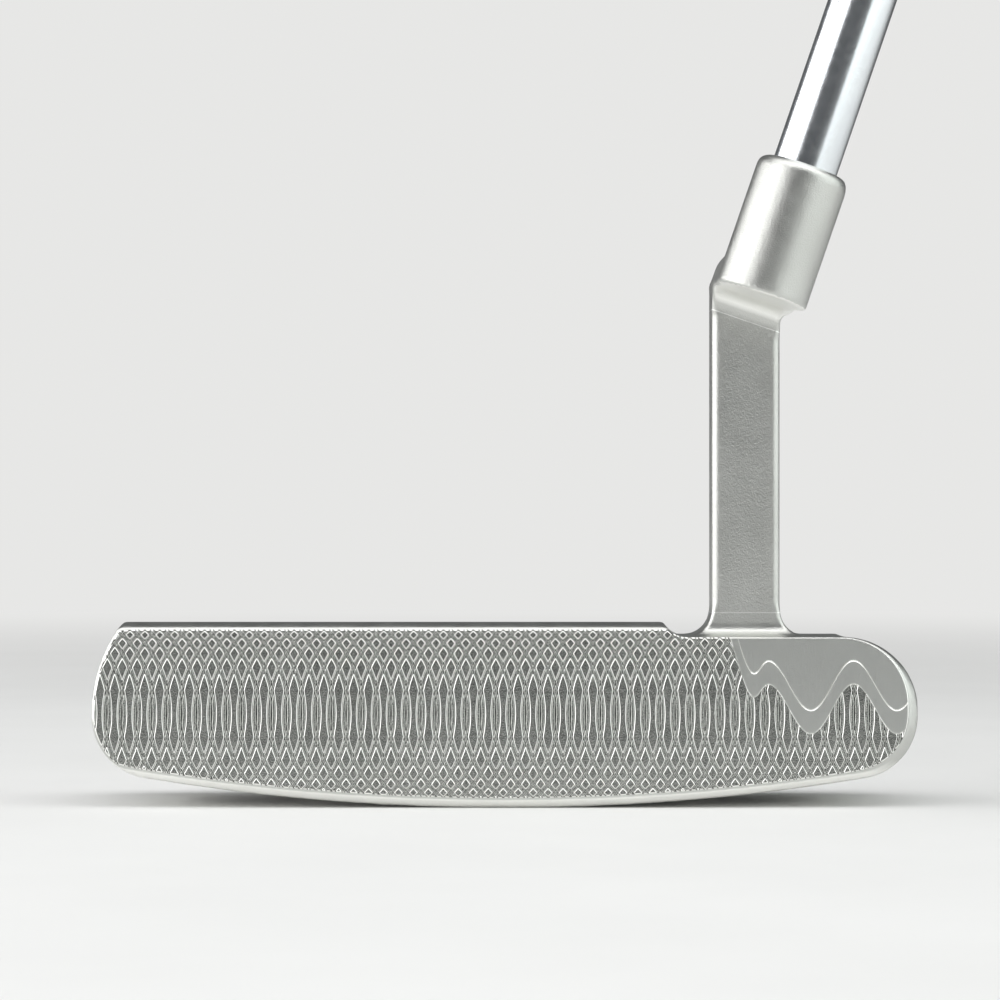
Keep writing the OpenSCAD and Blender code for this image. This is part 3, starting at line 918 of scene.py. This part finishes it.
def build_grip():
    """The grip: the CAD sleeve's shape, made smooth along its length, with the relief and a rounded lip."""
    along, away = axial("grip_sleeve")
    start, end, bore = along.min(), along.max(), away.min()
    coarse = np.linspace(start + 0.5, end - 0.5, GRIP_PLACES)
    radii = softened(skin_radii("grip_sleeve", coarse, GRIP_COLUMNS), 2)
    s = np.linspace(0, end - start, GRIP_ROWS)
    angle = np.arange(GRIP_COLUMNS) * math.tau / GRIP_COLUMNS
    skin = np.stack([np.interp(s + start, coarse, radii[:, j]) for j in range(GRIP_COLUMNS)], 1)
    skin += grip_relief(s[:, None], end - start, angle[None, :])
    lip = np.clip(LIP_R - s, 0, LIP_R)
    skin -= (LIP_R - np.sqrt(LIP_R ** 2 - lip ** 2))[:, None]
    rows = np.concatenate([skin, np.full((2, GRIP_COLUMNS), bore)])
    return ring_object("grip_moulding", np.concatenate([s + start, [end, start]]), rows)


def build_cap():
    """The end cap: a rounded edge, a dished top with a raised ring, the vent and the spigot."""
    along, away = axial("grip_cap")
    base = axial("shaft")[0].max()
    height = along.max() - base
    spigot = away[along < base - 1].max()
    edge = skin_radii("grip_cap", [base + 0.6], AROUND)[0]
    turn = np.linspace(0, math.pi / 2, 9)
    rows = [(0.0, edge - CAP_CHAMFER), (CAP_CHAMFER, edge)]
    rows += [(height - CAP_EDGE * (1 - math.sin(a)), edge - CAP_EDGE * (1 - math.cos(a))) for a in turn]
    top = edge - CAP_EDGE
    for t in np.linspace(0.06, 1, 30):
        ring = DISH_RING * np.exp(-((t - 0.72) / 0.06) ** 2)
        dish = ring - DISH_DEPTH * smoothstep((t - 0.1) / 0.25)
        rows.append((height + float(dish), top + (VENT_R - top) * t))
    for s, r in ((-SPIGOT_LEN, VENT_R), (-SPIGOT_LEN, spigot), (0.0, spigot)):
        rows.append((s, np.full(AROUND, r)))
    return ring_object("cap_moulding", np.array([base + s for s, _ in rows]), np.stack([r for _, r in rows]))


# ---- Camera, floor and light ----

CAMERA_DISTANCE = 505.0     # mm from the face
VIEW_WIDTH = 145.1          # mm that the picture spans at the face
CAMERA_X = -0.73            # mm across, and mm above the ground
CAMERA_Z = 44.7
BACKDROP = (0.80, 0.80, 0.79)
ROOM = (0.10, 0.103, 0.106)
FLOOR_R = 12.0              # m
FADE = (0.15, 0.9)          # m from the head, over which the floor fades into the backdrop
AIM = (0.02, 0.0, 0.05)     # m, the place in the head that the lights face


def build_camera():
    """A long lens, level and square to the face, at half the height of the head with its neck."""
    data = bpy.data.cameras.new("camera")
    data.sensor_width = 36.0
    data.lens = data.sensor_width * CAMERA_DISTANCE / VIEW_WIDTH
    data.clip_start = 0.01
    data.clip_end = 50.0
    obj = bpy.data.objects.new("camera", data)
    obj.location = Vector((CAMERA_X, FACE_O[1] - CAMERA_DISTANCE, CAMERA_Z)) * MM
    obj.rotation_euler = (math.radians(90), 0, 0)
    bpy.context.scene.collection.objects.link(obj)
    bpy.context.scene.camera = obj


def seen_directly(tree):
    """1 where the camera sees a surface itself, 0 where steel mirrors it."""
    return tree.nodes.new("ShaderNodeLightPath").outputs["Is Camera Ray"]


def mix_shaders(tree, share, first, second, output, socket):
    """Sends an output the first shader, and as much of the second as share says."""
    mix = tree.nodes.new("ShaderNodeMixShader")
    tree.links.new(share, mix.inputs["Fac"])
    tree.links.new(first, mix.inputs[1])
    tree.links.new(second, mix.inputs[2])
    tree.links.new(mix.outputs["Shader"], output.inputs[socket])


def floor_paper():
    """Pale paper that takes on the backdrop's tone with distance."""
    n = Nodes("floor_paper")
    n.shader.inputs["Roughness"].default_value = 0.9
    n.shader.inputs["Specular IOR Level"].default_value = 0.1
    n.link(n.ramp(n.noise(60.0, 4.0), (0.77, 0.77, 0.76), (0.80, 0.80, 0.79)), n.shader.inputs["Base Color"])
    glow = n.node("ShaderNodeEmission", Color=(*BACKDROP, 1))
    away = n.maths("LENGTH", n.coords, kind="ShaderNodeVectorMath")
    share = n.maths("MULTIPLY", n.ranged(away, *FADE, "SMOOTHSTEP"), seen_directly(n.tree))
    output = n.tree.nodes["Material Output"]
    mix_shaders(n.tree, share, n.shader.outputs["BSDF"], glow.outputs["Emission"], output, "Surface")
    return n.material


def build_floor():
    """A pale floor that fades into the backdrop behind the club, as a sweep of paper does."""
    bpy.ops.mesh.primitive_circle_add(vertices=96, radius=FLOOR_R, fill_type="NGON")
    floor = bpy.context.object
    floor.name = "floor"
    floor.data.materials.append(floor_paper())


def build_world():
    """The room: pale where the camera looks at it, dim where the steel mirrors it."""
    world = bpy.data.worlds.new("studio")
    bpy.context.scene.world = world
    world.use_nodes = True
    tree = world.node_tree
    tree.nodes.clear()
    tones = []
    for colour in (ROOM, BACKDROP):
        tone = tree.nodes.new("ShaderNodeBackground")
        tone.inputs["Color"].default_value = (*colour, 1)
        tones.append(tone.outputs["Background"])
    output = tree.nodes.new("ShaderNodeOutputWorld")
    mix_shaders(tree, seen_directly(tree), *tones, output, "Surface")


def panel(name, azimuth, elevation, distance, size, glow, colour=(1, 1, 1)):
    """A soft panel of brightness glow that faces the head. Azimuth 0 is the camera's side, + the heel's."""
    a, e = math.radians(azimuth), math.radians(elevation)
    away = Vector((math.sin(a) * math.cos(e), -math.cos(a) * math.cos(e), math.sin(e)))
    light = bpy.data.lights.new(name, "AREA")
    light.shape = "RECTANGLE"
    light.size, light.size_y = size
    light.color = colour
    light.energy = glow * math.pi * size[0] * size[1]
    obj = bpy.data.objects.new(name, light)
    obj.location = Vector(AIM) + away * distance
    obj.rotation_mode = "QUATERNION"
    obj.rotation_quaternion = away.to_track_quat("Z", "Y")
    obj.visible_camera = False
    bpy.context.scene.collection.objects.link(obj)


def build_lights():
    """Two panels on the toe's side make the bright stripes on the neck; the others are fainter."""
    panel("left_front", -60, 10, 0.95, (0.8, 0.8), 2.2)
    panel("left_side", -104, 10, 0.95, (0.8, 0.8), 2.2)
    panel("right", 72, 14, 1.0, (1.6, 1.0), 1.35, colour=(0.95, 1.0, 0.98))
    panel("top", 0, 75, 0.9, (2.2, 0.9), 1.7)
    panel("front", 0, 55, 1.0, (1.2, 0.5), 0.7)
    bpy.context.scene.view_settings.view_transform = "Standard"


# ---- The club: visual pieces for four of the CAD nodes, and a finish for every node ----

build_camera()
build_floor()
build_world()
build_lights()

head_steel = blasted_steel("head_steel")
face_steel = milled_steel("milled_steel")
shaft_chrome = chromed_steel("shaft_chrome")
grip_rubber = rubber("grip_rubber", (0.018, 0.018, 0.019), (0.034, 0.033, 0.032), 0.35, 0.03)
cap_rubber = rubber("cap_rubber", (0.02, 0.02, 0.02), (0.03, 0.03, 0.03), 0.3, 0.02)
sight_paint = plain("sight_paint", (0.015, 0.015, 0.017), (0.03, 0.03, 0.033), (0.25, 0.4), 0.5, 0.01)
seal_rubber = plain("seal_rubber", (0.02, 0.02, 0.02), (0.04, 0.04, 0.04), (0.5, 0.7), 0.2, 0.01)

body, outline = build_head()
install(body, head_steel, "head")
install(build_face(outline), face_steel, "head")
install(build_shaft(), shaft_chrome, "shaft")
install(build_grip(), grip_rubber, "grip_sleeve")
install(build_cap(), cap_rubber, "grip_cap")

FINISHES = {
    "head": head_steel,
    "sight_line_fill": sight_paint,
    "toe_weight": turned_steel("weight_steel", middle_of("toe_weight")),
    "heel_weight": turned_steel("heel_weight_steel", middle_of("heel_weight")),
    "toe_weight_seal": seal_rubber,
    "heel_weight_seal": seal_rubber,
    "epoxy_bond": plain("epoxy", (0.62, 0.56, 0.36), (0.74, 0.69, 0.5), (0.15, 0.3), 0.6, 0.02),
    "tip_plug": plain("cork", (0.32, 0.19, 0.09), (0.58, 0.4, 0.23), (0.7, 0.9), 0.5, 0.1),
    "grip_tape": plain("tape", (0.66, 0.63, 0.52), (0.76, 0.73, 0.64), (0.6, 0.8), 0.4, 0.03),
    "grip_sleeve": grip_rubber,
    "grip_cap": cap_rubber,
    "shaft": shaft_chrome,
}
for name, material in FINISHES.items():
    node = frame["nodes"][name]
    for slot in node.material_slots:
        slot.material = material
